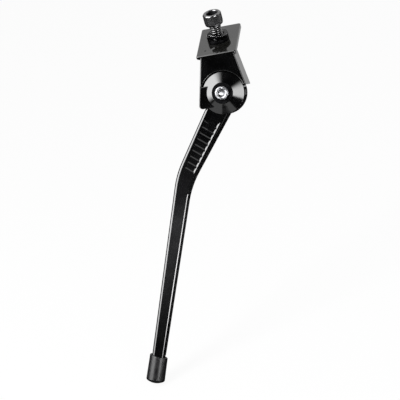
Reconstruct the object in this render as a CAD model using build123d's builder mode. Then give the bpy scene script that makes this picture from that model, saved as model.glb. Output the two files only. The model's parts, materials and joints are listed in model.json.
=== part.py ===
from build123d import *
import os
from math import atan2, cos, degrees, hypot, radians, sin, sqrt, tan

# Bicycle kickstand that bolts under the bridge behind the bottom bracket.
# Millimetres. Z is the mounting bolt's axis and Z = 0 the top face of the plate.
# X points to the bicycle's rear, and -Y to its left side, where the leg is.

# Mounting plate
plate_width = 33.3
plate_depth = 52.6
plate_thickness = 3.5
plate_thin_edge = 2.1
plate_corner = 1.2
plate_bevel = 0.5
plate_front = 27.0
plate_front_land = 1.7
spot_face_margin = 0.4
spot_face_depth = 0.4
boss_radius = 9.0
boss_length = 10.5
cast_mark_radius = 0.9
cast_mark_depth = 0.4
cast_mark_x = -9.5
cast_mark_y = -18.0

# Sloping block under the plate
tilt = 26.0
block_depth = 23.2
front_cheek = 1.84
rear_cheek = 2.54
block_flare = 11.5
block_edge_round = 0.8
pivot_drop = 32.5
stop_height = 7.6
rear_end_height = 3.8
ear_thickness = 4.8
ear_radius = 15.5
edge_tolerance = 0.01

# Hub of the leg and its stop lobe
hub_radius = 17.7
hub_clearance = 0.4
rim_setback = 1.75
cone_height = 3.4
cone_top_radius = 8.9
cone_edge_round = 0.4
lobe_drop = 10.4
lobe_corner = 3.0
lobe_edge_round = 0.6

# Leg, seen along the pivot: places are from the pivot, to the rear and up the slope
front_root = (-17.9, -11.2)
front_knee = (-51.0, -59.5)
rear_root = (1.2, -18.1)
rear_knee = (-41.4, -71.3)
lower_length = 147.7
lower_angle = 251.6
knee_radius = 75.0
leg_setback = 1.2
leg_back_setback = 0.45
leg_depth_ankle = 10.0
ankle_width = 10.5
leg_round = 2.4
leg_back_round = 2.0
leg_swing = 95.0

# Row of pockets across the upper leg
panel_start = (-12.5, -20.2)
panel_angle = 234.8
panel_width_start = 13.1
panel_width_end = 9.3
pocket_count = 9
pocket_pitch = 5.2
pocket_skew = -4.0
pocket_rib = 1.0
pocket_depth = 0.7
pocket_wall = 0.83
pocket_overcut = 0.25
pocket_corner = 0.7
pocket_floor_corner = 0.3
panel_step = 1.2

# Rubber foot and the tang inside it
foot_rim_radius = 7.5
foot_base_radius = 7.8
foot_length = 21.5
foot_dome = 2.5
foot_rim_slant = 7.0
foot_rim_round = 0.5
foot_base_round = 1.6
tang_step = 0.3
tang_length = 16.0
tang_corner = 2.2
tang_clearance = 0.05

# Pivot
shoulder_radius = 4.5
pivot_thread_radius = 4.0
bush_wall = 1.5
running_clearance = 0.05
end_play = 0.05
thread_clearance = 0.05
press_clearance = 0.01
pivot_head_radius = 5.7
pivot_head_height = 3.2
pivot_head_bevel = 0.7
pivot_socket_flats = 6.0
pivot_socket_depth = 1.4
front_washer_radius = 8.5
front_washer_thickness = 1.0
thrust_washer_radius = 11.0
thrust_washer_thickness = 1.0
nut_washer_radius = 8.0
nut_washer_thickness = 1.6
nut_flats = 13.0
nut_hex_height = 6.0
nut_collar_radius = 5.6
nut_collar_height = 1.8
nut_bevel_angle = 30.0
pivot_tip = 2.0

# Detent: a sprung plunger that drops into two hollows of the hub
plunger_radius = 4.0
plunger_dome = 5.0
plunger_body = 3.2
plunger_spigot_radius = 1.9
plunger_spigot = 2.0
plunger_lift = 0.3
plunger_travel = 1.3
hollow_clearance = 0.4
hollow_gap = 0.3
detent_bore_top = 30.0
spring_wire = 1.1
spring_coil_radius = 2.95
spring_turns = 3.5

# Mounting bolt and its washers
bolt_radius = 5.0
bolt_length = 30.0
bolt_head_radius = 7.75
bolt_head_height = 10.0
bolt_head_bevel = 0.8
bolt_head_draft = 0.4
bolt_head_draft_height = 2.0
bolt_mouth_radius = 5.4
bolt_mouth_depth = 0.9
bolt_tip_bevel = 0.9
bolt_socket_flats = 8.0
bolt_socket_depth = 5.0
bolt_lift = 14.8
washer_clearance = 0.3
flat_washer_radius = 9.0
flat_washer_thickness = 2.8
lock_washer_radius = 9.05
lock_washer_width = 3.25
lock_washer_thickness = 2.5
lock_washer_rise = 3.2
lock_washer_gap = 10.0
lock_washer_start = 212.0
lock_washer_lean = 7.4

os.makedirs("parts", exist_ok=True)

# Sizes that follow from the ones above
slope = radians(tilt)
out = Vector(0, -cos(slope), sin(slope))
face_front = plate_front * cos(slope) - plate_front_land * sin(slope)
pivot_level = -plate_front * sin(slope) - pivot_drop
ear_back = face_front - block_depth
pivot_y = pivot_level * sin(slope) - ear_back * cos(slope)
pivot_z = pivot_level * cos(slope) + ear_back * sin(slope)

# The swing plane: x to the rear, y up the slope, z out along the pivot from the back of the ear
swing = Plane(origin=(0, pivot_y, pivot_z), x_dir=(1, 0, 0), z_dir=out)
pivot_axis = Axis(swing.origin, swing.z_dir)
# Radial plane through the pivot: x to the rear, y out along the pivot
radial = Plane(origin=swing.origin, x_dir=swing.x_dir, z_dir=-swing.y_dir)

hub_back = ear_thickness + thrust_washer_thickness + end_play
rim_level = block_depth - rim_setback
cone_level = rim_level + cone_height
hub_middle = (hub_back + rim_level) / 2
hub_opening = hub_radius + hub_clearance
bush_radius = shoulder_radius + running_clearance + bush_wall
leg_front = rim_level - leg_setback
leg_back = hub_back + leg_back_setback
leg_depth_root = leg_front - leg_back
foot_middle = leg_front - leg_depth_ankle / 2


def local(place, level):
    """Point of the swing plane at a level along the pivot."""
    return swing.from_local_coords((place[0], place[1], level))


def heading(angle):
    """Direction in the swing plane, counted from the rear."""
    return swing.x_dir * cos(radians(angle)) + swing.y_dir * sin(radians(angle))


def lying_on(face_plane):
    """Test for the edges whose middle lies on a plane."""
    return lambda edge: abs(face_plane.to_local_coords(edge.center()).Z) < edge_tolerance


def front_side(height):
    """Front side of the flared block, which leaves a cheek beside the hub where the block ends."""
    end = sqrt(hub_opening**2 - stop_height**2) + front_cheek
    return (height - stop_height) * tan(radians(block_flare)) - end


def rear_side(height):
    """Rear side of the flared block, with a cheek of its own beside the hub."""
    end = sqrt(hub_opening**2 - rear_end_height**2) + rear_cheek
    return end - (height - rear_end_height) * tan(radians(block_flare))


# Plate, which thins towards the edge that overhangs the block on the front side
with BuildPart() as plate:
    with BuildSketch(Plane.XZ.offset(plate_front)):
        with BuildLine():
            Polyline(
                (-plate_width / 2, 0),
                (-plate_width / 2, -plate_thin_edge),
                (front_side(pivot_drop), -plate_thickness),
                (plate_width / 2, -plate_thickness),
                (plate_width / 2, 0),
                close=True,
            )
        make_face()
    extrude(amount=-plate_depth)
    fillet(plate.edges().filter_by(Axis.Z), plate_corner)
    chamfer(plate.faces().sort_by(Axis.Z)[-1].edges(), plate_bevel)

# Mounting bracket: plate, sloping block, rear ear and bolt boss in one casting
block_top = pivot_drop + block_depth * tan(slope)
with BuildPart() as mounting_bracket:
    with BuildSketch(swing):
        with BuildLine():
            Polyline(
                (front_side(block_top), block_top),
                (front_side(stop_height), stop_height),
                (0, stop_height),
                (0, rear_end_height),
                (rear_side(rear_end_height), rear_end_height),
                (rear_side(block_top), block_top),
                close=True,
            )
        make_face()
    extrude(amount=block_depth)
    back_edges = edges().filter_by(lying_on(swing))
    fillet(back_edges.sort_by(SortBy.LENGTH)[-2:], block_edge_round)
    with BuildSketch(swing.offset(ear_thickness)):
        Circle(hub_opening)
    extrude(amount=block_depth, mode=Mode.SUBTRACT)
    fillet(edges().filter_by(lying_on(swing.offset(block_depth))), block_edge_round)
    split(bisect_by=Plane.XY.offset(-plate_thickness / 2), keep=Keep.BOTTOM)
    with BuildSketch(swing):
        Circle(ear_radius)
    extrude(amount=ear_thickness)
    with BuildSketch(Plane.XY.offset(-plate_thickness / 2)):
        Circle(boss_radius)
    extrude(amount=-boss_length - plate_thickness / 2)
    add(plate.part)
    with BuildSketch():
        Circle(flat_washer_radius + spot_face_margin)
    extrude(amount=-spot_face_depth, mode=Mode.SUBTRACT)
    with BuildSketch():
        with Locations((cast_mark_x, cast_mark_y)):
            Circle(cast_mark_radius)
    extrude(amount=-cast_mark_depth, mode=Mode.SUBTRACT)
    with BuildSketch():
        Circle(bolt_radius + thread_clearance)
    extrude(amount=-bolt_length, mode=Mode.SUBTRACT)
    with BuildSketch(swing):
        Circle(pivot_thread_radius + thread_clearance)
    extrude(amount=ear_thickness, mode=Mode.SUBTRACT)
    with BuildSketch(Plane(origin=local((0, 0), hub_middle), x_dir=swing.x_dir, z_dir=swing.y_dir)):
        Circle(plunger_radius + running_clearance)
    extrude(amount=detent_bore_top, mode=Mode.SUBTRACT)

# Arm of the leg: flat front, back face sloping forwards as the section thins towards the foot
across = heading(lower_angle + 90)
down = heading(lower_angle)
knee_x = (front_knee[0] + rear_knee[0]) / 2
knee_y = (front_knee[1] + rear_knee[1]) / 2
ankle_x = knee_x + lower_length * cos(radians(lower_angle))
ankle_y = knee_y + lower_length * sin(radians(lower_angle))
ankle = (ankle_x, ankle_y)
half_ankle_x = ankle_width / 2 * cos(radians(lower_angle + 90))
half_ankle_y = ankle_width / 2 * sin(radians(lower_angle + 90))
front_ankle = (ankle_x - half_ankle_x, ankle_y - half_ankle_y)
rear_ankle = (ankle_x + half_ankle_x, ankle_y + half_ankle_y)
reach = hypot(*ankle)
thinning = (leg_depth_root - leg_depth_ankle) / reach
back_normal = heading(degrees(atan2(ankle_y, ankle_x))) * thinning - swing.z_dir
back_plane = Plane(origin=local((0, 0), leg_back), z_dir=back_normal)


def beyond_hub(edge):
    """True for the arm's long edges, outside the hub and short of the ankle."""
    place = swing.to_local_coords(edge.center())
    return hub_radius < hypot(place.X, place.Y) < reach - ankle_width / 2


with BuildPart() as arm:
    with BuildSketch(swing.offset(leg_back)):
        with BuildLine():
            Polyline(
                (0, 0), front_root, front_knee, front_ankle, rear_ankle, rear_knee, rear_root, close=True
            )
        make_face()
        knees = vertices().sort_by_distance((front_knee[0], front_knee[1], 0))[:1]
        knees += vertices().sort_by_distance((rear_knee[0], rear_knee[1], 0))[:1]
        fillet(knees, knee_radius)
    extrude(amount=leg_depth_root)
    split(bisect_by=back_plane, keep=Keep.BOTTOM)
    fillet(edges().filter_by(beyond_hub).filter_by(lying_on(swing.offset(leg_front))), leg_round)
    fillet(edges().filter_by(beyond_hub).filter_by(lying_on(back_plane)), leg_back_round)

# Stop lobe beside the hub, which meets the block's underside when the leg is down
with BuildPart() as lobe:
    with BuildSketch(swing.offset(hub_back)):
        with BuildLine():
            Polyline(
                (0, stop_height),
                (front_side(stop_height), stop_height),
                (front_side(-lobe_drop), -lobe_drop),
                (0, -lobe_drop),
                close=True,
            )
        make_face()
        fillet(vertices().group_by(Axis.Y)[0].sort_by(Axis.X)[:1], lobe_corner)
    extrude(amount=block_depth - hub_back)
    fillet(lobe.faces().sort_by(pivot_axis)[-1].edges(), lobe_edge_round)

# Leg: hub, cone, stop lobe and arm in one forging, with the tang for the foot
foot_plane = Plane(origin=local(ankle, foot_middle), x_dir=across, z_dir=down)
panel = Plane(origin=local(panel_start, leg_front), x_dir=heading(panel_angle), z_dir=swing.z_dir)
hollow_radius = plunger_dome + hollow_clearance
hollow_centre = hub_radius + plunger_lift - plunger_travel - hollow_gap + hollow_radius
with BuildPart() as stand_leg:
    with BuildSketch(radial):
        with BuildLine():
            Polyline(
                (0, hub_back),
                (hub_radius, hub_back),
                (hub_radius, rim_level),
                (cone_top_radius, cone_level),
                (0, cone_level),
                close=True,
            )
        make_face()
        fillet(vertices().sort_by_distance((hub_radius, rim_level, 0))[:1], cone_edge_round)
        fillet(vertices().sort_by_distance((cone_top_radius, cone_level, 0))[:1], cone_edge_round)
    revolve(axis=pivot_axis)
    add(lobe.part)
    add(arm.part)
    with BuildSketch(foot_plane):
        RectangleRounded(ankle_width - 2 * tang_step, leg_depth_ankle - 2 * tang_step, tang_corner)
    extrude(amount=tang_length)
    # Each pocket narrows to its floor, and is cut from above the face
    for i in range(pocket_count):
        panel_width = panel_width_start + (panel_width_end - panel_width_start) * (i + 0.5) / pocket_count
        for share in (-pocket_overcut, 1):
            with BuildSketch(panel.offset(-pocket_depth * share)):
                with Locations(((i + 0.5) * pocket_pitch, (pocket_wall - panel_step) / 2)):
                    RectangleRounded(
                        pocket_pitch - pocket_rib - 2 * pocket_wall * share,
                        panel_width - panel_step + pocket_wall - 2 * pocket_wall * share,
                        pocket_corner + (pocket_floor_corner - pocket_corner) * share,
                        rotation=pocket_skew,
                    )
        loft(ruled=True, mode=Mode.SUBTRACT)
    # One sloping step runs along the rear ends of all the pockets, down to their floors
    for along, width in ((0, panel_width_start), (pocket_count * pocket_pitch, panel_width_end)):
        station = panel.from_local_coords((along, 0, 0))
        with BuildSketch(Plane(origin=station, x_dir=panel.y_dir, z_dir=panel.x_dir)):
            with BuildLine():
                Polyline(
                    (width / 2 - panel_step, -pocket_depth),
                    (width / 2 + panel_step * pocket_overcut, pocket_depth * pocket_overcut),
                    (width / 2 - panel_step, pocket_depth * pocket_overcut),
                    close=True,
                )
            make_face()
    loft(ruled=True, mode=Mode.SUBTRACT)
    with BuildSketch(swing):
        Circle(bush_radius + press_clearance)
    extrude(amount=cone_level, mode=Mode.SUBTRACT)
    for angle in (90, 90 - leg_swing):
        hollow_heading = heading(angle)
        hollow_plane = Plane(
            origin=local((0, 0), hub_middle) + hollow_heading * hollow_centre,
            x_dir=swing.z_dir,
            z_dir=hollow_heading,
        )
        with Locations(hollow_plane):
            Sphere(hollow_radius, mode=Mode.SUBTRACT)

# Rubber foot: a round cap over the tang, with a slanting rim, domed underneath
foot_section = Plane(origin=foot_plane.origin, x_dir=across, z_dir=across.cross(down))
rim_rise = foot_rim_radius * tan(radians(foot_rim_slant))
rim_plane = Plane(
    origin=foot_plane.origin + down * rim_rise,
    z_dir=down * cos(radians(foot_rim_slant)) - across * sin(radians(foot_rim_slant)),
)
with BuildPart() as rubber_foot:
    with BuildSketch(foot_section):
        with BuildLine():
            Polyline((0, foot_length), (0, 0), (foot_rim_radius, 0), (foot_base_radius, foot_length))
            Line((0, foot_length), (0, foot_length + foot_dome))
            dome_radius = (foot_base_radius**2 + foot_dome**2) / (2 * foot_dome)
            half_turn = atan2(foot_base_radius, dome_radius - foot_dome) / 2
            ThreePointArc(
                (foot_base_radius, foot_length),
                (
                    dome_radius * sin(half_turn),
                    foot_length + foot_dome - dome_radius * (1 - cos(half_turn)),
                ),
                (0, foot_length + foot_dome),
            )
        make_face()
        fillet(vertices().sort_by_distance((foot_base_radius, foot_length, 0))[:1], foot_base_round)
    revolve(axis=Axis(foot_plane.origin, down))
    split(bisect_by=rim_plane, keep=Keep.TOP)
    fillet(rubber_foot.faces().sort_by(Axis(foot_plane.origin, down))[0].edges(), foot_rim_round)
    with BuildSketch(foot_plane):
        RectangleRounded(
            ankle_width - 2 * tang_step + 2 * tang_clearance,
            leg_depth_ankle - 2 * tang_step + 2 * tang_clearance,
            tang_corner + tang_clearance,
        )
    extrude(amount=tang_length, mode=Mode.SUBTRACT)

# Pivot bush, pressed into the hub
with BuildPart() as pivot_bush:
    with BuildSketch(swing.offset(hub_back)):
        Circle(bush_radius)
        Circle(bush_radius - bush_wall, mode=Mode.SUBTRACT)
    extrude(amount=cone_level - hub_back)

# Thrust washer between the hub and the ear
with BuildPart() as rear_thrust_washer:
    with BuildSketch(swing.offset(ear_thickness)):
        Circle(thrust_washer_radius)
        Circle(shoulder_radius + running_clearance, mode=Mode.SUBTRACT)
    extrude(amount=thrust_washer_thickness)

# Washer under the pivot bolt's head, which leaves the hub its end play
washer_level = cone_level + end_play
with BuildPart() as front_washer:
    with BuildSketch(swing.offset(washer_level)):
        Circle(front_washer_radius)
        Circle(shoulder_radius + running_clearance, mode=Mode.SUBTRACT)
    extrude(amount=front_washer_thickness)

# Pivot bolt: head in front, shoulder through the hub, thread through the ear
head_level = washer_level + front_washer_thickness
head_top = head_level + pivot_head_height
nut_level = -nut_washer_thickness
nut_back = nut_level - nut_hex_height - nut_collar_height
with BuildPart() as pivot_bolt:
    with BuildSketch(radial):
        with BuildLine():
            Polyline(
                (0, nut_back - pivot_tip),
                (pivot_thread_radius, nut_back - pivot_tip),
                (pivot_thread_radius, ear_thickness),
                (shoulder_radius, ear_thickness),
                (shoulder_radius, head_level),
                (pivot_head_radius, head_level),
                (pivot_head_radius, head_top - pivot_head_bevel),
                (pivot_head_radius - pivot_head_bevel, head_top),
                (0, head_top),
                close=True,
            )
        make_face()
    revolve(axis=pivot_axis)
    with BuildSketch(swing.offset(head_top)):
        RegularPolygon(pivot_socket_flats / 2, 6, major_radius=False)
    extrude(amount=-pivot_socket_depth, mode=Mode.SUBTRACT)

# Washer and lock nut behind the ear
with BuildPart() as nut_washer:
    with BuildSketch(swing):
        Circle(nut_washer_radius)
        Circle(pivot_thread_radius + washer_clearance, mode=Mode.SUBTRACT)
    extrude(amount=-nut_washer_thickness)

nut_corner = nut_flats / sqrt(3)
nut_bevel = (nut_corner - nut_flats / 2) * tan(radians(nut_bevel_angle))
with BuildPart() as pivot_nut:
    with BuildSketch(swing.offset(nut_level)):
        RegularPolygon(nut_flats / 2, 6, major_radius=False)
    extrude(amount=-nut_hex_height)
    with BuildSketch(radial):
        with BuildLine():
            Polyline(
                (0, nut_level),
                (nut_flats / 2, nut_level),
                (nut_corner, nut_level - nut_bevel),
                (nut_corner, nut_level - nut_hex_height + nut_bevel),
                (nut_flats / 2, nut_level - nut_hex_height),
                (0, nut_level - nut_hex_height),
                close=True,
            )
        make_face()
    revolve(axis=pivot_axis, mode=Mode.INTERSECT)
    with BuildSketch(swing.offset(nut_level - nut_hex_height)):
        Circle(nut_collar_radius)
    extrude(amount=-nut_collar_height)
    with BuildSketch(swing.offset(nut_level)):
        Circle(pivot_thread_radius + thread_clearance)
    extrude(amount=nut_back - nut_level, mode=Mode.SUBTRACT)

# Detent plunger with a domed nose, shown lifted clear of the hub's rim
nose = hub_radius + plunger_lift
dome_height = plunger_dome - sqrt(plunger_dome**2 - plunger_radius**2)
shoulder_level = nose + dome_height + plunger_body
dome_half = atan2(plunger_radius, plunger_dome - dome_height) / 2
detent_axis = Axis(local((0, 0), hub_middle), swing.y_dir)
# Plane through the plunger: x to the rear, y up the slope
detent_section = swing.offset(hub_middle)
with BuildPart() as detent_plunger:
    with BuildSketch(detent_section):
        with BuildLine():
            ThreePointArc(
                (0, nose),
                (plunger_dome * sin(dome_half), nose + plunger_dome * (1 - cos(dome_half))),
                (plunger_radius, nose + dome_height),
            )
            Polyline(
                (plunger_radius, nose + dome_height),
                (plunger_radius, shoulder_level),
                (plunger_spigot_radius, shoulder_level),
                (plunger_spigot_radius, shoulder_level + plunger_spigot),
                (0, shoulder_level + plunger_spigot),
                (0, nose),
            )
        make_face()
    revolve(axis=detent_axis)

# Detent spring between the plunger's shoulder and the end of the bore
spring_length = detent_bore_top - shoulder_level - spring_wire
spring_plane = Plane(
    origin=local((0, shoulder_level + spring_wire / 2), hub_middle),
    x_dir=swing.x_dir,
    z_dir=swing.y_dir,
)
spring_path = spring_plane.location * Helix(spring_length / spring_turns, spring_length, spring_coil_radius)
with BuildPart() as detent_spring:
    with BuildSketch(Plane(origin=spring_path @ 0, z_dir=spring_path % 0)):
        Circle(spring_wire / 2)
    sweep(path=spring_path, is_frenet=True)

# Mounting bolt: socket cap screw, stored part of the way into its thread
bolt_top = bolt_lift + bolt_head_height
bolt_tip = bolt_lift - bolt_length
with BuildPart() as mounting_bolt:
    with BuildSketch(Plane.XZ):
        with BuildLine():
            Polyline(
                (0, bolt_tip),
                (bolt_radius - bolt_tip_bevel, bolt_tip),
                (bolt_radius, bolt_tip + bolt_tip_bevel),
                (bolt_radius, bolt_lift),
                (bolt_head_radius - bolt_head_draft, bolt_lift),
                (bolt_head_radius, bolt_lift + bolt_head_draft_height),
                (bolt_head_radius, bolt_top - bolt_head_bevel),
                (bolt_head_radius - bolt_head_bevel, bolt_top),
                (bolt_mouth_radius, bolt_top),
                (bolt_mouth_radius - bolt_mouth_depth, bolt_top - bolt_mouth_depth),
                (0, bolt_top - bolt_mouth_depth),
                close=True,
            )
        make_face()
    revolve(axis=Axis.Z)
    with BuildSketch(Plane.XY.offset(bolt_top)):
        RegularPolygon(bolt_socket_flats / 2, 6, major_radius=False)
    extrude(amount=-bolt_socket_depth, mode=Mode.SUBTRACT)

# Plain washer on the spot face, and the split spring washer that leans on it and on the bolt
with BuildPart() as flat_washer:
    with BuildSketch(Plane.XY.offset(-spot_face_depth)):
        Circle(flat_washer_radius)
        Circle(bolt_radius + washer_clearance, mode=Mode.SUBTRACT)
    extrude(amount=flat_washer_thickness)

washer_top = flat_washer_thickness - spot_face_depth
coil_radius = lock_washer_radius - lock_washer_width / 2
coil_share = 1 - lock_washer_gap / 360
coil_pitch = lock_washer_rise / coil_share
coil_tilt = atan2(lock_washer_rise, 2 * coil_radius * radians(180) * coil_share)
# It rests on the inner edge of its low end, and leans over to the rear until its rear rests too
low_end_lift = -cos(radians(lock_washer_start)) * sin(radians(lock_washer_lean))
coil_level = washer_top + lock_washer_thickness / 2 - (lock_washer_radius - lock_washer_width) * low_end_lift
coil_lean = Location((0, 0, coil_level), (0, lock_washer_lean, 0))
coil_plane = Plane(coil_lean * Rotation(0, 0, lock_washer_start))
coil_path = coil_plane.location * Helix(coil_pitch, lock_washer_rise, coil_radius, lefthand=True)
with BuildPart() as lock_washer:
    with BuildSketch(Plane(origin=coil_path @ 0, x_dir=coil_plane.x_dir, z_dir=coil_path % 0)):
        Rectangle(lock_washer_width, lock_washer_thickness * cos(coil_tilt))
    sweep(path=coil_path, is_frenet=True)

mounting_bracket.part.label = "mounting_bracket"
export_step(mounting_bracket.part, "parts/mounting_bracket.step")
stand_leg.part.label = "stand_leg"
export_step(stand_leg.part, "parts/stand_leg.step")
rubber_foot.part.label = "rubber_foot"
export_step(rubber_foot.part, "parts/rubber_foot.step")
pivot_bush.part.label = "pivot_bush"
export_step(pivot_bush.part, "parts/pivot_bush.step")
rear_thrust_washer.part.label = "rear_thrust_washer"
export_step(rear_thrust_washer.part, "parts/rear_thrust_washer.step")
front_washer.part.label = "front_washer"
export_step(front_washer.part, "parts/front_washer.step")
pivot_bolt.part.label = "pivot_bolt"
export_step(pivot_bolt.part, "parts/pivot_bolt.step")
nut_washer.part.label = "nut_washer"
export_step(nut_washer.part, "parts/nut_washer.step")
pivot_nut.part.label = "pivot_nut"
export_step(pivot_nut.part, "parts/pivot_nut.step")
detent_plunger.part.label = "detent_plunger"
export_step(detent_plunger.part, "parts/detent_plunger.step")
detent_spring.part.label = "detent_spring"
export_step(detent_spring.part, "parts/detent_spring.step")
mounting_bolt.part.label = "mounting_bolt"
export_step(mounting_bolt.part, "parts/mounting_bolt.step")
flat_washer.part.label = "flat_washer"
export_step(flat_washer.part, "parts/flat_washer.step")
lock_washer.part.label = "lock_washer"
export_step(lock_washer.part, "parts/lock_washer.step")
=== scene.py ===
# %% [markdown]
# # A bicycle kickstand
# The stand hangs under the bridge behind a bicycle's bottom bracket. A flat plate is drawn up
# against the bridge by one big screw, a sloping block under it carries the pivot, and a long
# bent leg swings on that pivot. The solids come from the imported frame, in metres, and this script
# adds what the solids leave out: screw threads, a knurl, eased edges, finishes, light and a camera.

# %% Load the frame
import json
from math import atan2, cos, degrees, hypot, pi, radians, sin

import bmesh
import bpy
from mathutils import Matrix, Vector


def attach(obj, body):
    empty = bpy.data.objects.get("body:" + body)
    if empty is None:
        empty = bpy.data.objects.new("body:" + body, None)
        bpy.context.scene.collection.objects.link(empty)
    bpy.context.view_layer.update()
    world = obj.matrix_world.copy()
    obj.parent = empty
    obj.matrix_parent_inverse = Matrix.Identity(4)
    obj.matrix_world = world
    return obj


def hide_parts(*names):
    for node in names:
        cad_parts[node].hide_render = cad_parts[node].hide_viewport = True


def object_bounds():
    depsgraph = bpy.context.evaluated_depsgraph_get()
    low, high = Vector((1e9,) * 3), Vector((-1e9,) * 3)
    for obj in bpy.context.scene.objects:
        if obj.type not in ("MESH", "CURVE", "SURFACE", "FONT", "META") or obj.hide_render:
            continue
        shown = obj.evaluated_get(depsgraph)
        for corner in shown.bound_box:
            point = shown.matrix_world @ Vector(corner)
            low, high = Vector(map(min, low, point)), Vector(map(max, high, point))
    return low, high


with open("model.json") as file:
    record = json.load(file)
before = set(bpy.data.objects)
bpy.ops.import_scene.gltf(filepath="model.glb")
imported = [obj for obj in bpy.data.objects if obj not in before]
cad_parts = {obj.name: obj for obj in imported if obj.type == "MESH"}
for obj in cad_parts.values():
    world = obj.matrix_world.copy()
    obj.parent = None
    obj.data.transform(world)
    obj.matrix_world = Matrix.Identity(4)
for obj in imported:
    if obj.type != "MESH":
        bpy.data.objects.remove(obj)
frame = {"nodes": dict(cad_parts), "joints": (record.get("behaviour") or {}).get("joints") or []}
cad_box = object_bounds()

nodes = frame["nodes"]
MM = 0.001
print("pieces in the frame:", len(nodes))

# %% [markdown]
# ## The pivot's own directions
# The leg turns about a pivot that leans outwards from the bicycle, so some shapes are easier to
# describe along that pivot than along the floor. The frame already says where the pivot is:
# the hinge's place and axis. From them comes one matrix that carries the pivot's own
# directions (to the rear, up the slope, out along the pivot) into the frame.

# %% Read the pivot from the hinge
hinge = next(j for j in frame["joints"] if j["name"] == "leg_swing")
pivot = Vector(hinge["pos_m"])
pivot_out = Vector(hinge["axis"]).normalized()
to_rear = Vector((1, 0, 0))
up_slope = pivot_out.cross(to_rear).normalized()
pivot_turn = Matrix((to_rear, up_slope, pivot_out)).transposed().to_4x4()
pivot_frame = Matrix.Translation(pivot) @ pivot_turn
print("pivot leans up by", round(degrees(atan2(pivot_out.z, -pivot_out.y)), 1), "degrees")


# %% [markdown]
# ## Material helpers
# Every finish here is a Principled shader fed by procedural textures. They read Object
# coordinates, so that a grain of half a millimetre stays half a millimetre on every piece and
# doesn't slide when the piece moves. The helpers keep each finish down to a few readable lines.

# %% Nodes and links
def tree_node(tree, kind, links=None, **values):
    """A node of a tree, with its settings, its plain socket values and its incoming links."""
    node = tree.nodes.new(kind)
    for key, value in values.items():
        setattr(node, key, value)
    for socket, source in (links or {}).items():
        if isinstance(source, bpy.types.NodeSocket):
            tree.links.new(source, node.inputs[socket])
        else:
            node.inputs[socket].default_value = source
    return node


def new_finish(name, **sockets):
    """A Principled material with plain values, its shader, and the place on the piece."""
    finish = bpy.data.materials.new(name)
    finish.use_nodes = True
    shader = finish.node_tree.nodes["Principled BSDF"]
    for socket, value in sockets.items():
        shader.inputs[socket.replace("_", " ")].default_value = value
    place = tree_node(finish.node_tree, "ShaderNodeTexCoord").outputs["Object"]
    return finish, shader, place


def feed(finish, shader, **sockets):
    """Links textures into the shader's sockets."""
    for socket, source in sockets.items():
        finish.node_tree.links.new(source, shader.inputs[socket.replace("_", " ")])


print("nodes can be added and linked")

# %% Textures
# a Mix node has an A, a B and a Result for each kind of data, so the colours go by number
MIX_A, MIX_B, MIX_RESULT = 6, 7, 2
TINT_ENDS = (0.35, 0.65)


def grain(finish, place, size, detail):
    """Noise whose lumps are about size metres across."""
    links = {"Vector": place, "Scale": 1 / size, "Detail": detail}
    return tree_node(finish.node_tree, "ShaderNodeTexNoise", links).outputs["Fac"]


def spread(finish, source, at_start, at_end, start=0.3, end=0.7):
    """Turns a texture's middle range, or a range of heights, into a range of numbers."""
    ends = {"Value": source, "From Min": start, "From Max": end, "To Min": at_start, "To Max": at_end}
    return tree_node(finish.node_tree, "ShaderNodeMapRange", ends).outputs["Result"]


def tint(finish, source, dark, light):
    """Turns a texture into a colour between a dark one and a light one."""
    ramp = tree_node(finish.node_tree, "ShaderNodeValToRGB", {"Fac": source})
    for stop, end, colour in zip(ramp.color_ramp.elements, TINT_ENDS, (dark, light)):
        stop.position = end
        stop.color = (*colour, 1)
    return ramp.outputs["Color"]


def mixed(finish, share, first, second):
    """One colour that goes over into another as the share goes from nought to one."""
    links = {"Factor": share, MIX_A: first, MIX_B: second}
    return tree_node(finish.node_tree, "ShaderNodeMix", links, data_type="RGBA").outputs[MIX_RESULT]


def relief(finish, source, height, strength, over=None):
    """A bump of that height in metres, on top of another bump if one is given."""
    links = {"Height": source, "Distance": height, "Strength": strength}
    if over is not None:
        links["Normal"] = over
    return tree_node(finish.node_tree, "ShaderNodeBump", links).outputs["Normal"]


print("textures tint between", TINT_ENDS)

# %% [markdown]
# ## Gloss black coat
# The bracket and the leg are cast alloy under a thick, glossy black coat. Such a coat is nearly
# black where it faces the viewer and turns light where it is seen at a glancing angle, because it
# then mirrors the pale room. The surface isn't a perfect mirror: it has a faint orange peel from
# spraying, and dull patches where dust and hands have been.

# %% Grain of the coat
black_coat, coat_shader, place = new_finish("gloss_black_coat", IOR=1.6)
peel = grain(black_coat, place, 1.6 * MM, detail=1.0)
dust = grain(black_coat, place, 0.25 * MM, detail=3.0)
hands = grain(black_coat, place, 14 * MM, detail=3.0)
specks = grain(black_coat, place, 0.8 * MM, detail=4.0)
peel_bump = relief(black_coat, peel, height=0.012 * MM, strength=0.2)
coat_bump = relief(black_coat, dust, height=0.004 * MM, strength=0.2, over=peel_bump)
feed(black_coat, coat_shader, Roughness=spread(black_coat, hands, 0.05, 0.1), Normal=coat_bump)
print("nodes of the coat so far:", len(black_coat.node_tree.nodes))
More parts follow.
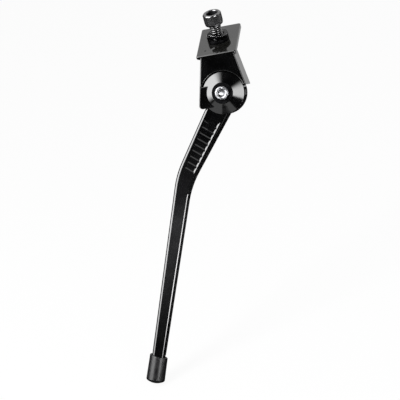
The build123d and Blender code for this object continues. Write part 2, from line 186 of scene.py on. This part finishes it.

# %% [markdown]
# ## Tone and dust on the coat
# The coat's colour changes with the height. It could be a second shader on top, but a change of
# the coat's own colour with the height is simpler: darkest on the bracket and hub, a little lighter
# on the leg, lightest just below the knee, and darker again towards the foot. On the flat top of
# the plate dust has settled in specks.

# %% Tone along the height, and dust
# darkest on the bracket and hub, lighter on the leg, lightest just below the knee
darkest_black = tint(black_coat, hands, (0.0012, 0.0012, 0.0013), (0.0028, 0.0028, 0.003))
leg_black = tint(black_coat, hands, (0.006, 0.006, 0.0064), (0.01, 0.01, 0.0105))
lightest_black = tint(black_coat, hands, (0.016, 0.016, 0.0168), (0.024, 0.024, 0.025))
settled = tint(black_coat, specks, (0.001, 0.001, 0.001), (0.017, 0.017, 0.015))
hub_bottom, leg_tone_full = -60 * MM, -90 * MM
knee_top, knee_bottom = -105 * MM, -117 * MM
lightest_from, darkest_again_at = -122 * MM, -215 * MM
dust_top, dust_bottom = -0.1 * MM, -0.4 * MM
height = tree_node(black_coat.node_tree, "ShaderNodeSeparateXYZ", {0: place}).outputs["Z"]
below_hub = spread(black_coat, height, 1.0, 0.0, leg_tone_full, hub_bottom)
below_knee = spread(black_coat, height, 1.0, 0.0, knee_bottom, knee_top)
up_from_foot = spread(black_coat, height, 0.0, 1.0, darkest_again_at, lightest_from)
on_plate = spread(black_coat, height, 0.0, 1.0, dust_bottom, dust_top)
lower_leg = mixed(black_coat, up_from_foot, darkest_black, lightest_black)
leg_tone = mixed(black_coat, below_knee, leg_black, lower_leg)
all_but_plate = mixed(black_coat, below_hub, darkest_black, leg_tone)
feed(black_coat, coat_shader, Base_Color=mixed(black_coat, on_plate, all_but_plate, settled))
for name in ("mounting_bracket", "stand_leg"):
    nodes[name].data.materials[0] = black_coat
print("coated:", black_coat.name, "with", len(black_coat.node_tree.nodes), "nodes")

# %% [markdown]
# ## Rubber foot
# The foot is moulded rubber, pushed over the end of the leg. Rubber has no mirror-like skin: its
# lights are broad and soft, with a fine grain from the mould and a greyer bloom where it has
# been handled.

# %% Rubber
rubber, rubber_shader, place = new_finish("moulded_rubber", Specular_IOR_Level=0.32)
skin = grain(rubber, place, 0.5 * MM, detail=4.0)
bloom = grain(rubber, place, 6 * MM, detail=3.0)
feed(
    rubber,
    rubber_shader,
    Base_Color=tint(rubber, bloom, (0.005, 0.005, 0.0055), (0.009, 0.009, 0.0095)),
    Roughness=spread(rubber, bloom, 0.28, 0.38),
    Normal=relief(rubber, skin, height=0.03 * MM, strength=0.3),
)
nodes["rubber_foot"].data.materials[0] = rubber
print("moulded:", rubber.name)


# %% [markdown]
# ## Bare and blackened steel
# The fasteners are steel with two kinds of finish: zinc on the pivot's bolt and nut, duller on the
# bolt, and black oxide on the mounting screw and its washers. All are metals, so their colour is
# what they mirror. Turned and rolled steel carries fine marks, which noise gives as bump and as
# small changes of roughness. The black steel isn't the same all over: lighter copies of it are
# painted highlights on the thread, on the top of the head and on the upward edges of the head and
# of the spring washer, the knurl is matt, and a near-black copy in the socket is painted shade. The
# detent's pieces and the thrust washer are plain steel, and the bush in the hub is bronze.

# %% Steels
def steel(name, dark, light, smooth, rough, marks=0.12 * MM, depth=0.01 * MM):
    """A metal finish with fine marks and patchy roughness."""
    finish, shader, place = new_finish(name, Metallic=1.0)
    patches = grain(finish, place, 3 * MM, detail=4.0)
    fine = grain(finish, place, marks, detail=3.0)
    feed(
        finish,
        shader,
        Base_Color=tint(finish, patches, dark, light),
        Roughness=spread(finish, patches, smooth, rough),
        Normal=relief(finish, fine, depth, strength=0.3),
    )
    return finish


zinc = steel("bright_zinc", (0.3, 0.305, 0.32), (0.38, 0.385, 0.4), 0.3, 0.42)
dull_zinc = steel("dull_zinc", (0.18, 0.182, 0.19), (0.23, 0.232, 0.24), 0.3, 0.42)
black_oxide = steel("black_oxide", (0.03, 0.03, 0.031), (0.042, 0.042, 0.043), 0.26, 0.36)
knurled_oxide = steel("knurled_oxide", (0.024, 0.024, 0.0245), (0.034, 0.034, 0.0345), 0.5, 0.6)
# lighter copies of the black steel, as painted highlights: on the screw's thread and head top, on its
# upward edges, and on the spring washer's top edges
painted_highlight = steel("rolled_thread", (0.14, 0.14, 0.141), (0.2, 0.2, 0.201), 0.1, 0.16)
painted_edge_highlight = steel("worn_edges", (0.14, 0.14, 0.142), (0.24, 0.24, 0.242), 0.2, 0.3)
bare_edge = steel("bare_edge", (0.35, 0.35, 0.355), (0.55, 0.55, 0.555), 0.35, 0.5)
# the darkest steel: the washers' own colour, and inside the screw's socket a painted shade
darkest_steel = steel("oiled_black_steel", (0.003, 0.003, 0.0033), (0.006, 0.006, 0.0065), 0.35, 0.5)
plain_steel = steel("plain_spring_steel", (0.3, 0.3, 0.32), (0.38, 0.38, 0.4), 0.25, 0.4)
bronze = steel("bearing_bronze", (0.42, 0.27, 0.12), (0.55, 0.36, 0.18), 0.35, 0.5, 0.4 * MM, 0.03 * MM)
print("metal finishes such as", dull_zinc.name, knurled_oxide.name, "and", bare_edge.name)

# %% Steel on the frame's own pieces
for name in ("nut_washer", "pivot_nut"):
    nodes[name].data.materials[0] = zinc
for name in ("detent_plunger", "detent_spring", "rear_thrust_washer"):
    nodes[name].data.materials[0] = plain_steel
nodes["front_washer"].data.materials[0] = darkest_steel
nodes["pivot_bush"].data.materials[0] = bronze
print("front washer:", nodes["front_washer"].data.materials[0].name)


# %% [markdown]
# ## Geometry Nodes helpers
# A thread is one shape carried along a spiral, and a knurl is one tooth repeated round a head:
# both are rules, so both are made by Geometry Nodes. A tree gets named inputs for its sizes.
# After it has run once, its result is copied into a plain mesh and the modifier goes.

# %% Build a tree
def new_tree(name, numbers, whole=()):
    """An empty tree with number inputs and a finish input, and the sockets of its inputs."""
    tree = bpy.data.node_groups.new(name, "GeometryNodeTree")
    for socket in numbers:
        tree.interface.new_socket(socket, in_out="INPUT", socket_type="NodeSocketFloat")
    for socket in whole:
        tree.interface.new_socket(socket, in_out="INPUT", socket_type="NodeSocketInt")
    tree.interface.new_socket("Finish", in_out="INPUT", socket_type="NodeSocketMaterial")
    tree.interface.new_socket("Mesh", in_out="OUTPUT", socket_type="NodeSocketGeometry")
    return tree, tree.nodes.new("NodeGroupInput").outputs


def reckon(tree, operation, first, second):
    """The result of one sum with two sockets or numbers."""
    return tree_node(tree, "ShaderNodeMath", {0: first, 1: second}, operation=operation).outputs[0]


def close_tree(tree, sizes, mesh):
    """Ends a tree with real geometry and its finish."""
    real = tree_node(tree, "GeometryNodeRealizeInstances", {"Geometry": mesh}).outputs[0]
    links = {"Geometry": real, "Material": sizes["Finish"]}
    finished = tree_node(tree, "GeometryNodeSetMaterial", links).outputs[0]
    tree_node(tree, "NodeGroupOutput", {"Mesh": finished})


print("trees can be built")


# %% Run a tree
def run_tree(tree, **values):
    """Runs a tree with these inputs and gives its result as a plain mesh."""
    host = bpy.data.objects.new(tree.name, bpy.data.meshes.new(tree.name))
    bpy.context.scene.collection.objects.link(host)
    maker = host.modifiers.new(tree.name, "NODES")
    maker.node_group = tree
    for item in tree.interface.items_tree:
        if item.in_out == "INPUT":
            maker[item.identifier] = values[item.name.replace(" ", "_").lower()]
    ready = bpy.context.evaluated_depsgraph_get()
    made = bpy.data.meshes.new_from_object(host.evaluated_get(ready), depsgraph=ready)
    host.modifiers.remove(maker)
    bpy.data.objects.remove(host)
    return made


print("trees can be run")

# %% [markdown]
# ## Screw threads
# A rolled thread is a ridge that climbs the screw by one pitch a turn. The tree sweeps a profile,
# wide at the root and narrow at the crest, along a right-handed spiral. Rolling leaves no sharp
# corners, so the profile's four corners are rounded: a crest then mirrors the room as a thin bright
# line. The profile shrinks almost to nothing at the tip, as a real thread runs out there.

# %% Thread profile
thread_tree, sizes = new_tree("screw_thread", ("Pitch", "Length", "Root radius", "Depth"))
root_half, crest_half, rounding = 0.46, 0.18, 0.2  # shares of the pitch
sunk, crest = -0.1, 1.0  # shares of the depth
shares = ((sunk, -root_half), (crest, -crest_half), (crest, crest_half), (sunk, root_half))
corners = {}
for number, (out_share, along_share) in enumerate(shares, 1):
    out = reckon(thread_tree, "MULTIPLY", sizes["Depth"], out_share)
    along = reckon(thread_tree, "MULTIPLY", sizes["Pitch"], along_share)
    corner = tree_node(thread_tree, "ShaderNodeCombineXYZ", {"X": out, "Y": along})
    corners[f"Point {number}"] = corner.outputs[0]
outline = tree_node(thread_tree, "GeometryNodeCurvePrimitiveQuadrilateral", corners, mode="POINTS")
corner_radius = reckon(thread_tree, "MULTIPLY", sizes["Pitch"], rounding)
profile = tree_node(
    thread_tree,
    "GeometryNodeFilletCurve",
    {"Curve": outline.outputs[0], "Count": 4, "Radius": corner_radius, "Limit Radius": True},
    mode="POLY",
)
print("corners of the profile:", len(corners))

# %% Thread along a spiral
steps_a_turn = 40
spiral = tree_node(
    thread_tree,
    "GeometryNodeCurveSpiral",
    {
        "Resolution": steps_a_turn,
        "Rotations": reckon(thread_tree, "DIVIDE", sizes["Length"], sizes["Pitch"]),
        "Start Radius": sizes["Root radius"],
        "End Radius": sizes["Root radius"],
        "Height": sizes["Length"],
        "Reverse": True,
    },
)
upright = tree_node(thread_tree, "GeometryNodeSetCurveNormal", {"Curve": spiral.outputs[0]}, mode="Z_UP")
travelled = tree_node(thread_tree, "GeometryNodeSplineParameter").outputs["Factor"]
run_out_share, thinnest = 0.05, 0.05
run_out = tree_node(
    thread_tree,
    "ShaderNodeMapRange",
    {"Value": travelled, "From Min": 0.0, "From Max": run_out_share, "To Min": thinnest, "To Max": 1.0},
)
ridge = tree_node(
    thread_tree,
    "GeometryNodeCurveToMesh",
    {
        "Curve": upright.outputs[0],
        "Profile Curve": profile.outputs[0],
        "Scale": run_out.outputs["Result"],
        "Fill Caps": True,
    },
)
close_tree(thread_tree, sizes, ridge.outputs[0])
print("thread tree nodes:", len(thread_tree.nodes))

# %% [markdown]
# ## Screws from their blanks
# The frame's screws have plain shanks. A copy of such a solid is the blank: its triangles are
# merged, its plain shank is slimmed to the thread's root, and the swept ridge is laid on it. All
# sizes are measured on the blank itself, along the screw's own axis. Each face is marked with the
# finish that it gets: plain, bright (on the mounting screw a painted highlight on the thread and
# the top of the head), top edge (a painted highlight where an eased edge faces up), knurl, or
# socket (a painted shade).

# %% Measure a blank
SAME_POINT = 0.001 * MM
TIP_ZONE = 1.5 * MM
SHOULDER_STEP = 0.3 * MM


def round_the_axis(vertex):
    """How far a vertex is from the screw's axis."""
    return hypot(vertex.co.x, vertex.co.y)


def merged_copy(node, home):
    """A copy of a node's solid with its triangles joined, carried from its home to the origin."""
    blank = bmesh.new()
    blank.from_mesh(nodes[node].data)
    bmesh.ops.remove_doubles(blank, verts=blank.verts, dist=SAME_POINT)
    blank.transform(home.inverted())
    return blank


def screw_blank(node, home):
    """The merged copy of a screw along its own axis, with its tip, shank radius and shoulder."""
    blank = merged_copy(node, home)
    tip = min(v.co.z for v in blank.verts)
    shank = max(round_the_axis(v) for v in blank.verts if v.co.z < tip + TIP_ZONE)
    shoulder = min(v.co.z for v in blank.verts if round_the_axis(v) > shank + SHOULDER_STEP)
    return blank, tip, shank, shoulder


print("a shoulder stands out by more than", round(SHOULDER_STEP / MM, 2), "mm")

# %% Mark and ease a blank
# on the mounting screw the bright and top-edge marks carry painted highlights, and the socket mark painted
# shade
PLAIN, BRIGHT, TOP_EDGE, KNURL, SOCKET = range(5)
SHARP = radians(30)
FACES_UP = 0.1


def ease_edges(blank, width, outside=0.0):
    """Rounds the sharp edges further out than a radius; those facing up are marked for a painted
    highlight.
    """
    sharp = [
        e
        for e in blank.edges
        if e.calc_face_angle(0) > SHARP and min(round_the_axis(v) for v in e.verts) > outside
    ]
    eased = bmesh.ops.bevel(
        blank, geom=sharp, offset=width, segments=3, profile=0.5, affect="EDGES", clamp_overlap=True
    )
    blank.normal_update()
    for face in eased["faces"]:
        face.material_index = TOP_EDGE if face.normal.z > FACES_UP else PLAIN


def mark_socket(blank, reach, level):
    """Gives the faces within a radius and above a level the socket's finish, a painted shade."""
    for face in blank.faces:
        if face.calc_center_median().z > level and max(round_the_axis(v) for v in face.verts) < reach:
            face.material_index = SOCKET


def mark_bright_top(blank, inside, level):
    """Makes the plain faces further out than a radius and above a level bright, as a painted highlight."""
    for face in blank.faces:
        middle = face.calc_center_median()
        # a face out here and up here is given the bright finish, a painted highlight
        turned = middle.z > level and hypot(middle.x, middle.y) > inside
        if turned and face.material_index == PLAIN:
            face.material_index = BRIGHT


def add_made(blank, mesh, mark):
    """Adds a tree's mesh to a blank, with one finish."""
    for face in mesh.polygons:
        face.material_index = mark
    blank.from_mesh(mesh)


print("edges count as sharp from", round(degrees(SHARP)), "degrees")

# %% Roll a thread
THREAD_DEPTH = 0.6134  # of the pitch, on a metric screw
CREST_GAP = 0.02 * MM  # keeps the crests just inside the plain shank
NEAR = 0.01 * MM


def roll_thread(blank, tip, shank, shoulder, pitch, finish):
    """Slims the shank to the thread's root and lays the ridge on it."""
    depth = THREAD_DEPTH * pitch
    root = shank - depth
    for v in blank.verts:
        if v.co.z < shoulder + NEAR and round_the_axis(v) < shank + NEAR:
            v.co.x *= root / shank
            v.co.y *= root / shank
    run_in = pitch / 2
    ridge = run_tree(
        thread_tree,
        pitch=pitch,
        length=shoulder - tip - run_in,
        root_radius=root,
        depth=depth - CREST_GAP,
        finish=finish,
    )
    ridge.transform(Matrix.Translation((0, 0, tip + run_in)))
    # the ridge takes the bright finish: on the mounting screw a lighter steel, a painted highlight
    add_made(blank, ridge, BRIGHT)


print("threads are", THREAD_DEPTH, "of their pitch deep")


# %% Finish a piece
def finish_piece(blank, piece_name, home, finishes, node, body):
    """Puts a worked copy in its place as a piece that stands for the frame's node."""
    blank.transform(home)
    mesh = bpy.data.meshes.new(piece_name)
    blank.to_mesh(mesh)
    blank.free()
    for finish in finishes:
        mesh.materials.append(finish)
    for face in mesh.polygons:
        face.use_smooth = True
    mesh.set_sharp_from_angle(angle=SHARP)
    piece = bpy.data.objects.new(piece_name, mesh)
    bpy.context.scene.collection.objects.link(piece)
    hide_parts(node)
    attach(piece, body)
    print(piece_name, "stands for", node, "with", len(mesh.polygons), "faces")


# %% [markdown]
# ## Mounting screw
# The mounting screw has a tall round head with a hexagon socket in a dished mouth. Its side is
# knurled, so that fingers can turn it: fine upright teeth pressed into the steel. The tree makes
# one three-sided tooth and sets copies of it round a circle, each turned to face outwards. The head
# under them is slimmed by their depth, so that it is the floor of the valleys and the teeth end
# where the plain head ended.

# %% Knurl tree
knurl_tree, sizes = new_tree("head_knurl", ("Radius", "Depth", "Height"), ("Teeth",))
tooth_reach, tooth_spread = 0.8, 0.6  # shares of the depth and of the pitch round the head
tooth = tree_node(knurl_tree, "GeometryNodeMeshCylinder", {"Vertices": 3, "Radius": 1.0, "Depth": 1.0})
out_size = reckon(knurl_tree, "MULTIPLY", sizes["Depth"], tooth_reach)
ring_radius = reckon(knurl_tree, "SUBTRACT", sizes["Radius"], out_size)
ring = tree_node(knurl_tree, "GeometryNodeMeshCircle", {"Vertices": sizes["Teeth"], "Radius": ring_radius})
step = reckon(knurl_tree, "DIVIDE", 2 * pi, sizes["Teeth"])
index = tree_node(knurl_tree, "GeometryNodeInputIndex").outputs[0]
turned = reckon(knurl_tree, "MULTIPLY", index, step)
outwards = tree_node(knurl_tree, "ShaderNodeCombineXYZ", {"Z": turned})
pitch_round = reckon(knurl_tree, "MULTIPLY", sizes["Radius"], step)
tooth_width = reckon(knurl_tree, "MULTIPLY", pitch_round, tooth_spread)
tooth_size = {"X": out_size, "Y": tooth_width, "Z": sizes["Height"]}
shape = tree_node(knurl_tree, "ShaderNodeCombineXYZ", tooth_size)
teeth = tree_node(
    knurl_tree,
    "GeometryNodeInstanceOnPoints",
    {
        "Points": ring.outputs["Mesh"],
        "Instance": tooth.outputs["Mesh"],
        "Rotation": outwards.outputs[0],
        "Scale": shape.outputs[0],
    },
)
close_tree(knurl_tree, sizes, teeth.outputs[0])
print("knurl tree nodes:", len(knurl_tree.nodes))

# %% Head of the mounting screw
upright_home = Matrix.Identity(4)
blank, tip, shank, shoulder = screw_blank("mounting_bolt", upright_home)
side_band = 0.05 * MM
knurl_depth, knurl_margin = 0.25 * MM, 0.15 * MM
eased_head = 0.2 * MM
socket_reach, above_shoulder = 4.75 * MM, 0.5 * MM
bright_reach, above_side = 4.95 * MM, 1.0 * MM
head_radius = max(round_the_axis(v) for v in blank.verts)
side = [v for v in blank.verts if round_the_axis(v) > head_radius - side_band]
side_low, side_high = min(v.co.z for v in side), max(v.co.z for v in side)
slim = (head_radius - knurl_depth) / head_radius
for v in side:
    v.co.x *= slim
    v.co.y *= slim
# the head's upward edges, its top and the thread get lighter steel as painted highlights, and the socket
# near-black steel as painted shade
ease_edges(blank, eased_head, shank + SHOULDER_STEP)
mark_socket(blank, socket_reach, shoulder + above_shoulder)
mark_bright_top(blank, bright_reach, side_low + above_side)
print("head", round(2 * head_radius / MM, 1), "mm across, shank", round(2 * shank / MM, 1))

# %% Thread and knurl of the mounting screw
mounting_pitch = 1.75 * MM
roll_thread(blank, tip, shank, shoulder, mounting_pitch, painted_highlight)
knurl = run_tree(
    knurl_tree,
    radius=head_radius,
    depth=knurl_depth,
    height=side_high - side_low - 2 * knurl_margin,
    teeth=60,
    finish=knurled_oxide,
)
knurl.transform(Matrix.Translation((0, 0, (side_low + side_high) / 2)))
add_made(blank, knurl, KNURL)
# in the order of the marks: plain, bright (painted highlight), top edge (painted highlight), knurl, socket
# (painted shade)
black_steel = (black_oxide, painted_highlight, painted_edge_highlight, knurled_oxide, darkest_steel)
finish_piece(blank, "mounting_screw", upright_home, black_steel, "mounting_bolt", "screw")

# %% [markdown]
# ## Washers of the mounting screw
# A spring washer, one turn of square steel, lies on a plain washer. Stamped and coiled steel has
# slightly rounded edges, and on black steel those edges are what shows: each catches a thin line of
# light. So the two washers are copied from the frame and their sharp edges are eased. Both are
# near-black steel, and the spring washer's top edges get a lighter steel as a painted highlight.

# %% Washers
eased_widths = {"flat_washer": 0.25 * MM, "lock_washer": 0.4 * MM}
top_edges = {"flat_washer": darkest_steel, "lock_washer": bare_edge}
for node, eased_width in eased_widths.items():
    blank = merged_copy(node, upright_home)
    ease_edges(blank, eased_width)
    # in the order of the marks: plain, bright (a washer has none), top edge (on the spring washer a
    # painted highlight)
    dark_steel = (darkest_steel, darkest_steel, top_edges[node])
    finish_piece(blank, "eased_" + node, upright_home, dark_steel, node, "bracket")

# %% [markdown]
# ## Pivot screw
# The pivot's bolt is a shoulder screw: the leg turns on its plain shoulder, and only the end behind
# the bracket is threaded, where the nut holds it. The same helpers cut that thread along the
# leaning pivot.

# %% Pivot screw
pivot_pitch = 1.25 * MM
blank, tip, shank, shoulder = screw_blank("pivot_bolt", pivot_frame)
roll_thread(blank, tip, shank, shoulder, pivot_pitch, dull_zinc)
pivot_finishes = (dull_zinc, dull_zinc)
finish_piece(blank, "pivot_screw", pivot_frame, pivot_finishes, "pivot_bolt", "bracket")
print("pivot screw thread", round((shoulder - tip) / MM, 1), "mm long, radius", round(shank / MM, 2))


# %% [markdown]
# ## The floor and the room
# The stand is shown on a plain pale floor in a white room. Both show their white to the camera and
# to mirrors, through the light path, and give the stand only a plain level of light. So the
# background is white without burning out the stand, and the floor keeps a faint shadow.

# %% Floor
def flat_mesh(name, width, height, level=0.0):
    """A mesh of one rectangular face that looks up."""
    w, h = width / 2, height / 2
    mesh = bpy.data.meshes.new(name)
    mesh.from_pydata([(-w, -h, level), (w, -h, level), (w, h, level), (-w, h, level)], [], [(0, 1, 2, 3)])
    return mesh


floor_level = cad_box[0].z
floor_size = 12.0
floor_mesh = flat_mesh("floor", floor_size, floor_size, floor_level)
floor = bpy.data.objects.new("floor", floor_mesh)
bpy.context.scene.collection.objects.link(floor)
print("floor at", round(floor_level / MM, 1), "mm")


# %% Pale floor finish
def seen_directly(tree):
    """One for rays from the camera, from mirrors and through glass, and nought for the rest."""
    path = tree_node(tree, "ShaderNodeLightPath").outputs
    seen = path["Is Camera Ray"]
    for ray in ("Is Glossy Ray", "Is Transmission Ray"):
        seen = reckon(tree, "MAXIMUM", seen, path[ray])
    return seen


pale, white_share = (0.85, 0.85, 0.85, 1), 0.93
pale_floor = bpy.data.materials.new("pale_floor")
pale_floor.use_nodes = True
tree = pale_floor.node_tree
tree.nodes.clear()
matt = tree_node(tree, "ShaderNodeBsdfDiffuse", {"Color": pale}).outputs[0]
glow = tree_node(tree, "ShaderNodeEmission", {"Strength": 1.0}).outputs[0]
glow_share = reckon(tree, "MULTIPLY", seen_directly(tree), white_share)
blend = tree_node(tree, "ShaderNodeMixShader", {0: glow_share, 1: matt, 2: glow})
tree_node(tree, "ShaderNodeOutputMaterial", {"Surface": blend.outputs[0]})
floor_mesh.materials.append(pale_floor)
print("floor finish:", pale_floor.name)

# %% White room
ambient, white = 0.4, 1.0
world = bpy.data.worlds.new("white_room")
bpy.context.scene.world = world
world.use_nodes = True
tree = world.node_tree
background = tree.nodes["Background"]
background.inputs["Color"].default_value = (1, 1, 1, 1)
ends = {"Value": seen_directly(tree), "To Min": ambient, "To Max": white}
level = tree_node(tree, "ShaderNodeMapRange", ends).outputs["Result"]
tree.links.new(level, background.inputs["Strength"])
print("ambient light", ambient)


# %% [markdown]
# ## Soft lamps
# Two soft lamps, left and right of the viewer, light the stand at a plain level. They could also
# be what the gloss mirrors, but then their light and their mirror images couldn't be set apart.
# So mirrors don't see them, and get boards of their own below.

# %% Lamps
def direction(azimuth, elevation):
    """Unit vector from the stand; azimuth nought is the front, and grows to the right."""
    a, e = radians(azimuth), radians(elevation)
    return Vector((sin(a) * cos(e), -cos(a) * cos(e), sin(e)))


def facing(place, away):
    """The place of a lamp or board that looks along a direction."""
    return Matrix.Translation(place) @ away.to_track_quat("Z", "Y").to_matrix().to_4x4()


def facing_hub(azimuth, elevation, distance=1.0):
    """The place of a lamp or board that stands off the pivot, square to the line to it."""
    away = direction(azimuth, elevation)
    return facing(pivot + away * distance, away)


def soft_lamp(name, home, width, height, brightness):
    """A rectangular soft lamp; brightness is that of its front, where white is 1."""
    light = bpy.data.lights.new(name, "AREA")
    light.shape = "RECTANGLE"
    light.size, light.size_y = width, height
    light.energy = brightness * pi * width * height
    lamp = bpy.data.objects.new(name, light)
    lamp.matrix_world = home
    lamp.visible_glossy = False
    bpy.context.scene.collection.objects.link(lamp)
    print(name, "of", round(light.energy, 1), "watts")


soft_lamp("left_lamp", facing_hub(-54, 33), width=0.42, height=1.1, brightness=8.0)
soft_lamp("right_lamp", facing_hub(32, 21), width=0.22, height=0.6, brightness=8.0)


# %% [markdown]
# ## Boards that only mirrors see
# A glossy black piece shows little of itself and much of the room, so the room is part of the
# finish. A photographer puts white panels and black flags round such a thing. Here they are flat
# boards that the camera, the shadows and the diffuse light don't see. A panel is even in its
# middle and fades at its edges, so that its mirror image has soft ends.

# %% Boards
def for_mirrors_only(thing):
    """Keeps a board out of the picture, the shadows and the diffuse light."""
    thing.visible_camera = False
    thing.visible_diffuse = False
    thing.visible_shadow = False
    thing.visible_transmission = False
    bpy.context.scene.collection.objects.link(thing)


def board(name, width, height, home, finish):
    """A flat board of that size at a place."""
    mesh = flat_mesh(name, width, height)
    mesh.materials.append(finish)
    thing = bpy.data.objects.new(name, mesh)
    thing.matrix_world = home
    for_mirrors_only(thing)


dark_cloth = bpy.data.materials.new("dark_cloth")
dark_cloth.use_nodes = True
cloth_shader = dark_cloth.node_tree.nodes["Principled BSDF"]
cloth_shader.inputs["Base Color"].default_value = (0.01, 0.01, 0.01, 1)
cloth_shader.inputs["Specular IOR Level"].default_value = 0.0
print("flags are of", dark_cloth.name)


# %% Glowing boards
def glowing(name, width, height, brightness, soft_sides, soft_ends):
    """A panel's light: even in the middle, fading over its sides and over its top and bottom."""
    finish = bpy.data.materials.new(name)
    finish.use_nodes = True
    tree = finish.node_tree
    tree.nodes.clear()
    place = tree_node(tree, "ShaderNodeTexCoord").outputs["Object"]
    parts = tree_node(tree, "ShaderNodeSeparateXYZ", {0: place}).outputs
    level = brightness
    for axis, reach, edge in (("X", width / 2, soft_sides), ("Y", height / 2, soft_ends)):
        off = tree_node(tree, "ShaderNodeMath", {0: parts[axis]}, operation="ABSOLUTE").outputs[0]
        ends = {"Value": off, "From Min": reach - edge, "From Max": reach, "To Min": 1.0, "To Max": 0.0}
        fade = tree_node(tree, "ShaderNodeMapRange", ends, interpolation_type="SMOOTHSTEP")
        level = reckon(tree, "MULTIPLY", level, fade.outputs["Result"])
    light = tree_node(tree, "ShaderNodeEmission", {"Strength": level}).outputs[0]
    tree_node(tree, "ShaderNodeOutputMaterial", {"Surface": light})
    return finish


def glowing_board(name, width, height, home, brightness, soft_sides=0.01, soft_ends=0.01):
    """A board with such a light on it."""
    light = glowing(name + "_light", width, height, brightness, soft_sides, soft_ends)
    board(name, width, height, home, light)
    print(name, "glows at", brightness)


# %% [markdown]
# ## Panels, card and flags
# A wide panel on the left and a slim one on the right make the bright parts of the hub's cone and
# most of the bright edges. A small, strong panel low on the right draws the white line down the
# lower leg's right edge, and the knee flag, which is set by the leg in the pivot's own directions,
# keeps that light off the upper leg. A grey card behind the stand gives the plate's top its grey.
# One more flag is low in front and one on the left, for what has to stay dark.

# %% Panels
glowing_board("left_panel", 1.1, 1.5, facing_hub(-56, 37), 12.0, soft_sides=0.12, soft_ends=0.4)
glowing_board("right_panel", 0.5, 0.9, facing_hub(40, 18), 10.0, soft_sides=0.06, soft_ends=0.35)
low_right_home = facing(Vector((0.173, -0.281, -0.2)), direction(52, 0))
glowing_board("low_right_panel", 0.39, 0.12, low_right_home, 18.0, soft_sides=0.1, soft_ends=0.02)

# %% Flags and the grey card
flag_left, flag_right, flag_near, flag_far = -43 * MM, 90 * MM, 15 * MM, 75 * MM
flag_level = -78 * MM
flag_middle = Vector(((flag_left + flag_right) / 2, flag_level, (flag_near + flag_far) / 2))
knee_flag_home = pivot_frame @ Matrix.Translation(flag_middle) @ Matrix.Rotation(pi / 2, 4, "X")
board("knee_flag", flag_right - flag_left, flag_far - flag_near, knee_flag_home, dark_cloth)
glowing_board("grey_card", 0.4, 0.4, facing_hub(-167, 28, distance=1.5), 0.85)
board("low_flag", 0.158, 0.137, facing_hub(17.5, -4, distance=0.6), dark_cloth)
board("left_flag", 1.5, 0.9, facing_hub(-119, 6, distance=1.25), dark_cloth)
print("flags placed, the knee flag", round((flag_right - flag_left) / MM), "mm wide")


# %% [markdown]
# ## Mats, floor card and drape
# Faces that slope down mirror the floor, so dark mats lie round the stand for its dark outlines,
# and a grey card behind them gives the bracket's side its strip of grey. A dark drape, half of a
# sphere, hangs behind the viewer, because the faces towards the viewer are black.

# %% Mats and floor card
def lying(x, y):
    """The place of a board that lies just above the floor."""
    return Matrix.Translation((x, y, floor_level + 0.5 * MM))


board("near_mat", 0.45, 0.65, lying(0.125, 0.125), dark_cloth)
glowing_board("floor_card", 0.45, 0.45, lying(0.125, 0.675), 0.63)
board("left_mat", 1.1, 1.25, lying(-0.65, 0.375), dark_cloth)
board("front_mat", 1.2, 0.38, lying(0.0, -0.39), dark_cloth)
board("far_front_mat", 0.26, 0.2, lying(-0.11, -0.66), dark_cloth)
print("mats placed")

# %% Drape
drape_radius, drape_edge = 5.0, 0.01
drape_mesh = bpy.data.meshes.new("dark_drape")
shell = bmesh.new()
bmesh.ops.create_uvsphere(shell, u_segments=32, v_segments=16, radius=drape_radius)
bmesh.ops.delete(shell, geom=[v for v in shell.verts if v.co.y > drape_edge], context="VERTS")
shell.to_mesh(drape_mesh)
shell.free()
drape_mesh.materials.append(dark_cloth)
for_mirrors_only(bpy.data.objects.new("dark_drape", drape_mesh))
print("drape faces:", len(drape_mesh.polygons))

# %% [markdown]
# ## Camera
# The picture was taken from far off with a long lens, a little from the right and from above,
# and the stand leans in it: the camera is rolled about its own axis. The view's centre is given
# as a point near the middle of the stand, with a small shift across the picture.

# %% Camera
view_azimuth, view_elevation, view_roll = radians(12.868), radians(27.645), radians(-15.585)
lens, sensor = 200.0, 36.0
pixels, pixels_per_mm = 400, 1.2022
stand_middle = Vector((-40, -60, -110)) * MM
shift_right, shift_down = 2.781, 2.909
turn = (
    Matrix.Rotation(view_azimuth, 4, "Z")
    @ Matrix.Rotation(pi / 2 - view_elevation, 4, "X")
    @ Matrix.Rotation(view_roll, 4, "Z")
)
view_right, view_up, view_back = (turn.col[i].to_3d() for i in range(3))
distance = lens * pixels / sensor / pixels_per_mm * MM
aim = stand_middle + view_right * shift_right * MM - view_up * shift_down * MM
camera_data = bpy.data.cameras.new("camera")
camera_data.lens, camera_data.sensor_width = lens, sensor
camera = bpy.data.objects.new("camera", camera_data)
camera.matrix_world = Matrix.Translation(aim + view_back * distance) @ turn
bpy.context.scene.collection.objects.link(camera)
bpy.context.scene.camera = camera
bpy.context.scene.view_settings.view_transform = "Standard"
print("camera", round(distance, 3), "m away")
